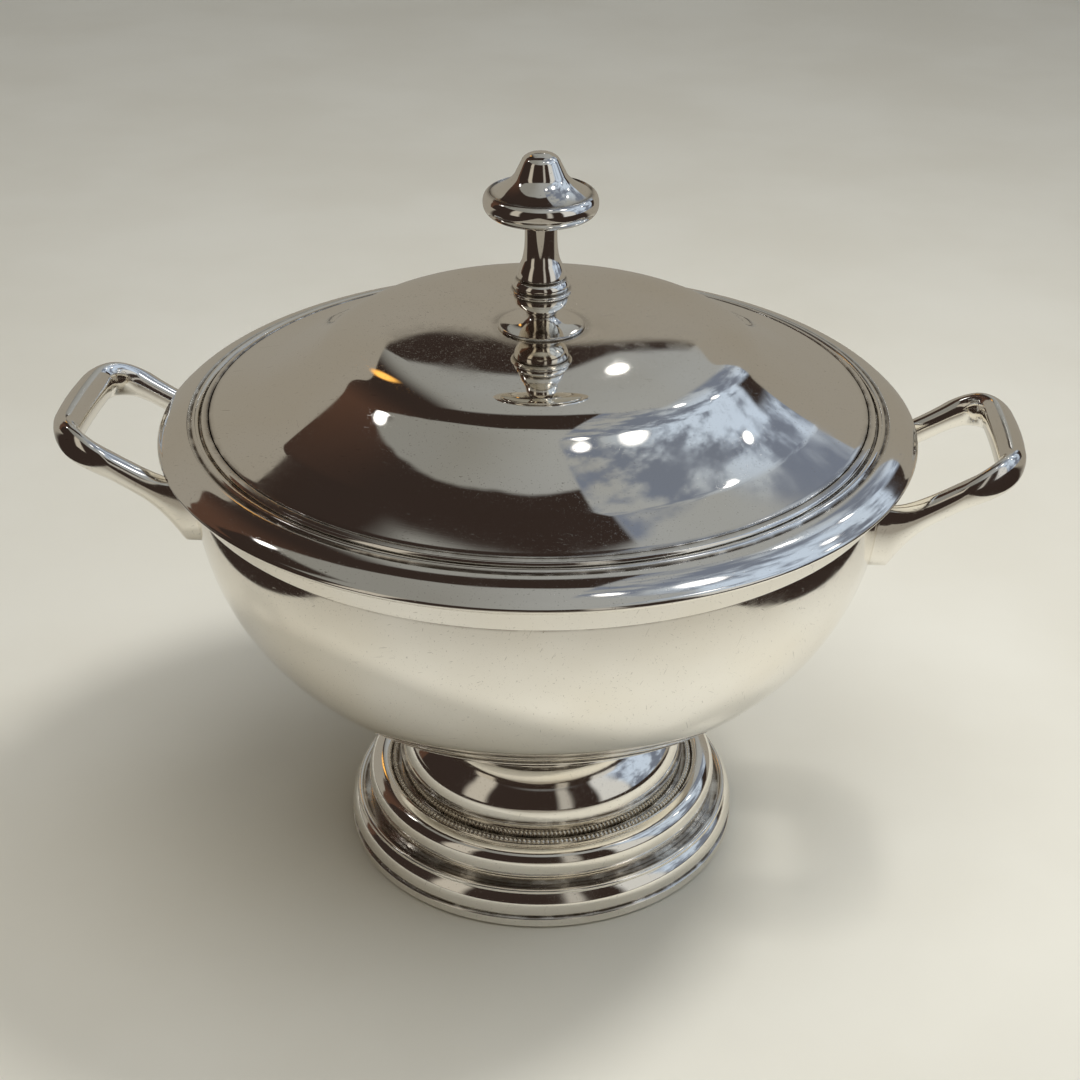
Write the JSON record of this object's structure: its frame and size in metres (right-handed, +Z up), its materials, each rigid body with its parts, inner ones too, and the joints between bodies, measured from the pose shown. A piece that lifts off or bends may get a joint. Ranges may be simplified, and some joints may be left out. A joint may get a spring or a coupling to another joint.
{
  "type": "soup tureen",
  "caption": "Round footed soup tureen in polished silver plate, with loop handles at the sides and a domed lid that lifts off by a turned knob.",
  "frame": {"origin": "centre of the foot's underside, on the table", "axes": "+Z up, X through the two handles, the front faces -Y"},
  "size_m": [0.321, 0.25, 0.2516],
  "materials": {
    "silver_plate": "polished silver plate with fine wear scratches",
    "silver_plate_lid": "polished silver plate with circular polishing marks",
    "silver_plate_handle": "polished silver plate over a casting",
    "silver_plate_finial": "polished silver plate, darker in the turned grooves",
    "milled_wire": "milled silver plate, darker in the notches",
    "brass_hardware": "dull machined brass"
  },
  "bodies": {
    "body": {"foot_base_ring": "silver_plate", "foot_band": "silver_plate", "foot_torus": "silver_plate", "foot_milled_ring": "milled_wire", "foot_neck": "silver_plate", "foot_collar": "silver_plate", "bowl_shell": "silver_plate", "rim_flange": "silver_plate", "handle_left": "silver_plate_handle", "handle_right": "silver_plate_handle"},
    "lid": {"lid_shell": "silver_plate_lid", "lid_edge_wire": "silver_plate", "lid_bezel": "silver_plate", "finial_foot": "silver_plate_finial", "finial_stem": "silver_plate_finial", "finial_knob": "silver_plate_finial", "finial_stud": "brass_hardware", "finial_washer": "brass_hardware", "finial_nut": "brass_hardware"}
  },
  "joints": [
    {"name": "lid_lift", "type": "slide", "parent": "body", "child": "lid", "axis": [0, 0, 1], "range_m": [0, 0.2]}
  ]
}
